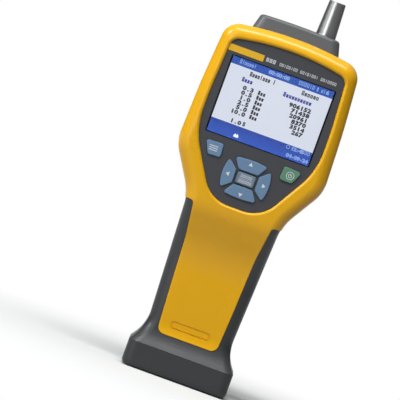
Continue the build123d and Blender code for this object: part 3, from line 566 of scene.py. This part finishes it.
def build_panel_print():
    """A bare badge field and mock words in a line beside it."""
    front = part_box("front_panel")[0][1] / MM - INK_LIFT - INK_THICKNESS
    badge_ink = ink("badge_ink", (0.86, 0.48, 0.02))
    pale_ink = ink("pale_ink", (0.55, 0.56, 0.58))
    z0 = SCREEN_CENTRE[1]
    badge = [(-39.4, z0 + 28.0), (-15.6, z0 + 28.0), (-15.6, z0 + 32.3), (-39.1, z0 + 32.3)]
    plates("panel_badge_field", [badge], front, badge_ink, HOUSING)
    mark = mock_word(-14.0, z0 + 29.0, "TTT", 2.6, 2.3, 0.75)
    line = "TTlTTlTT TTlTlTTl TTlTTTT"
    mark += mock_word(-4.8, z0 + 29.2, line, 2.0, 1.57, 0.4)
    plates("panel_mark", mark, front, pale_ink, HOUSING)


def triangle(cx, cz, size, direction):
    """Arrow head that points up, down, left or right."""
    shape = [(-0.56, -0.4), (0.56, -0.4), (0.0, 0.5)]
    turn = {"up": 0, "left": 90, "down": 180, "right": 270}[direction]
    a = math.radians(turn)
    return [
        (cx + size * (x * math.cos(a) - z * math.sin(a)), cz + size * (x * math.sin(a) + z * math.cos(a)))
        for x, z in shape
    ]


def build_key_symbols():
    """Symbols on the keys' faces; each rides its own key."""
    white = ink("symbol_ink", (0.78, 0.80, 0.82))
    soft = ink("enter_symbol_ink", (0.62, 0.66, 0.72))

    def front(key):
        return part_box(key)[0][1] / MM - INK_LIFT - INK_THICKNESS

    arrows = {
        "key_up": triangle(0, UP_ARROW_Z, ARROW_SIZE, "up"),
        "key_down": triangle(0, DOWN_ARROW_Z, ARROW_SIZE, "down"),
        "key_left": triangle(-SIDE_ARROW_X, CLUSTER_Z, ARROW_SIZE, "left"),
        "key_right": triangle(SIDE_ARROW_X, CLUSTER_Z, ARROW_SIZE, "right"),
    }
    for key, outline in arrows.items():
        plates(key + "_arrow", [outline], front(key), white, key)
    cx, cz = POWER_CENTRE
    power = ring(cx, cz, 2.65, 2.3)
    power += ring(cx, cz - 0.1, 1.3, 0.95, start=125, sweep=290, steps=18)
    power.append(rect(cx - 0.2, cx + 0.2, cz, cz + 1.5))
    plates("key_power_symbol", power, front("key_power"), white, "key_power")
    menu = [rect(-29.6, -23.6, z, z + 0.5, 0.2) for z in MENU_BARS_Z]
    plates("key_menu_symbol", menu, front("key_menu"), white, "key_menu")
    enter = mock_word(-3.9, CLUSTER_Z + 0.75, "TTTTT", 1.9, 1.62, 0.35)
    enter += mock_word(-4.3, CLUSTER_Z - 2.65, "TTTTTT", 1.9, 1.5, 0.35)
    enter.append(rect(-4.6, 4.6, CLUSTER_Z - 0.12, CLUSTER_Z + 0.12))
    plates("key_enter_symbol", enter, front("key_enter"), soft, "key_enter")


build_display()
build_panel_print()
build_key_symbols()


# ------------------------------------------------------------------ floor, light and camera

FLOOR_HALF = 4.0
SHADOW_KEPT = 0.05          # distance from the counter's middle at which the floor starts to fade
SHADOW_GONE = 0.32          # distance at which it is plain white
FLOOR_SHADE = 0.88
BOUNCE_SHADE = 0.30


def build_floor():
    """Pale floor that keeps the shadow near the counter and fades to plain white further out.

    It is darker to the light that it throws back, so that the counter's lower faces keep their contrast.
    """
    mesh = bpy.data.meshes.new("floor")
    corners = [(x * FLOOR_HALF, y * FLOOR_HALF, 0) for x, y in ((-1, -1), (1, -1), (1, 1), (-1, 1))]
    mesh.from_pydata(corners, [], [(0, 1, 2, 3)])
    floor = bpy.data.objects.new("floor", mesh)
    bpy.context.scene.collection.objects.link(floor)
    material, g = new_material("pale_floor")
    position = g.add("ShaderNodeTexCoord").outputs["Object"]
    distance = g.add("ShaderNodeVectorMath", {0: position}, operation="LENGTH").outputs["Value"]
    far = g.add("ShaderNodeMapRange", {
        "Value": distance, "From Min": SHADOW_KEPT, "From Max": SHADOW_GONE, "To Min": 0.0, "To Max": 1.0,
    }, interpolation_type="SMOOTHSTEP").outputs["Result"]
    path = g.add("ShaderNodeLightPath")
    seen = g.math("ADD", path.outputs["Is Camera Ray"], path.outputs["Is Glossy Ray"], clamp=True)
    seen = g.math("ADD", seen, path.outputs["Is Transmission Ray"], clamp=True)
    shade = g.mix(path.outputs["Is Diffuse Ray"], rgba((FLOOR_SHADE,) * 3), rgba((BOUNCE_SHADE,) * 3))
    plain = g.add("ShaderNodeBsdfDiffuse", {"Color": shade})
    white = g.add("ShaderNodeEmission", {"Color": (1.0, 1.0, 1.0, 1.0), "Strength": 1.0})
    faded = g.math("MULTIPLY", far, seen)
    blend = g.add("ShaderNodeMixShader", {0: faded, 1: plain.outputs[0], 2: white.outputs[0]})
    g.add("ShaderNodeOutputMaterial", {"Surface": blend.outputs[0]})
    mesh.materials.append(material)


ROOM_LEVEL = 0.12           # light that the room itself gives
FRONT_LEVEL = 0.05          # what reflections see in front


def build_world():
    """Plain white to the camera; reflections see it behind and above, with a dim room in front."""
    world = bpy.data.worlds.new("studio")
    bpy.context.scene.world = world
    world.use_nodes = True
    g = Graph(world.node_tree)
    direction = g.add("ShaderNodeTexCoord").outputs["Generated"]
    parts = g.add("ShaderNodeSeparateXYZ", {"Vector": direction})
    behind = g.remap(parts.outputs["Y"], 0.82, 1.0, 0.0, 1.0)
    above = g.remap(parts.outputs["Z"], 0.3, 0.9, 0.0, 0.7)
    glossy_level = g.math("ADD", g.math("MAXIMUM", behind, above), FRONT_LEVEL, clamp=True)
    path = g.add("ShaderNodeLightPath")
    straight = g.math("ADD", path.outputs["Is Camera Ray"], path.outputs["Is Transmission Ray"], clamp=True)
    level = g.add("ShaderNodeMix", data_type="FLOAT")
    g.tree.links.new(path.outputs["Is Glossy Ray"], level.inputs[0])
    level.inputs[2].default_value = ROOM_LEVEL
    g.tree.links.new(glossy_level, level.inputs[3])
    strength = g.math("MAXIMUM", level.outputs[0], straight)
    background = g.add("ShaderNodeBackground", {"Color": (1.0, 1.0, 1.0, 1.0), "Strength": strength})
    g.add("ShaderNodeOutputWorld", {"Surface": background.outputs[0]})


LAMP_AIM = (0.0, 0.0, 0.14)
LAMP_TINT = (0.97, 1.0, 1.0)


def area_light(name, place, size, power):
    """Softbox that faces the middle of the counter; places and sizes in metres, power in watts."""
    data = bpy.data.lights.new(name, "AREA")
    data.shape = "RECTANGLE"
    data.size, data.size_y = size
    data.energy = power
    data.color = LAMP_TINT
    light = bpy.data.objects.new(name, data)
    bpy.context.scene.collection.objects.link(light)
    light.location = place
    light.rotation_euler = (Vector(LAMP_AIM) - Vector(place)).to_track_quat("-Z", "Y").to_euler()


PICTURE_SIZE = 400          # pixels
SCALE_PX_PER_MM = 1.54
ROLL = math.radians(20.0)
ELEVATION = math.radians(1.5)
CAMERA_DISTANCE = 2.5       # metres
PICTURE_CENTRE = (-23.2, -15.0, 116.6)
SENSOR_WIDTH = 36.0


def build_camera():
    """Long lens from straight in front, rolled as the photograph is."""
    data = bpy.data.cameras.new("camera")
    camera = bpy.data.objects.new("camera", data)
    bpy.context.scene.collection.objects.link(camera)
    seen_width = PICTURE_SIZE / SCALE_PX_PER_MM * MM
    data.sensor_width = SENSOR_WIDTH
    data.lens = SENSOR_WIDTH * CAMERA_DISTANCE / seen_width
    data.clip_end = 50.0
    level_right = Vector((1, 0, 0))
    level_up = Vector((0, math.sin(ELEVATION), math.cos(ELEVATION)))
    back = Vector((0, -math.cos(ELEVATION), math.sin(ELEVATION)))
    right = math.cos(ROLL) * level_right + math.sin(ROLL) * level_up
    up = -math.sin(ROLL) * level_right + math.cos(ROLL) * level_up
    place = Vector(PICTURE_CENTRE) * MM + back * CAMERA_DISTANCE
    camera.matrix_world = Matrix.Translation(place) @ Matrix((right, up, back)).transposed().to_4x4()
    bpy.context.scene.camera = camera


build_floor()
build_world()
area_light("key_softbox", (-1.2, -0.45, 0.9), (0.35, 0.45), 9.5)
area_light("top_softbox", (-0.15, -0.45, 1.2), (0.9, 0.28), 11.0)
area_light("left_softbox", (-0.68, -1.2, 0.5), (0.75, 1.0), 4.6)
build_camera()

scene = bpy.context.scene
scene.view_settings.view_transform = "Standard"
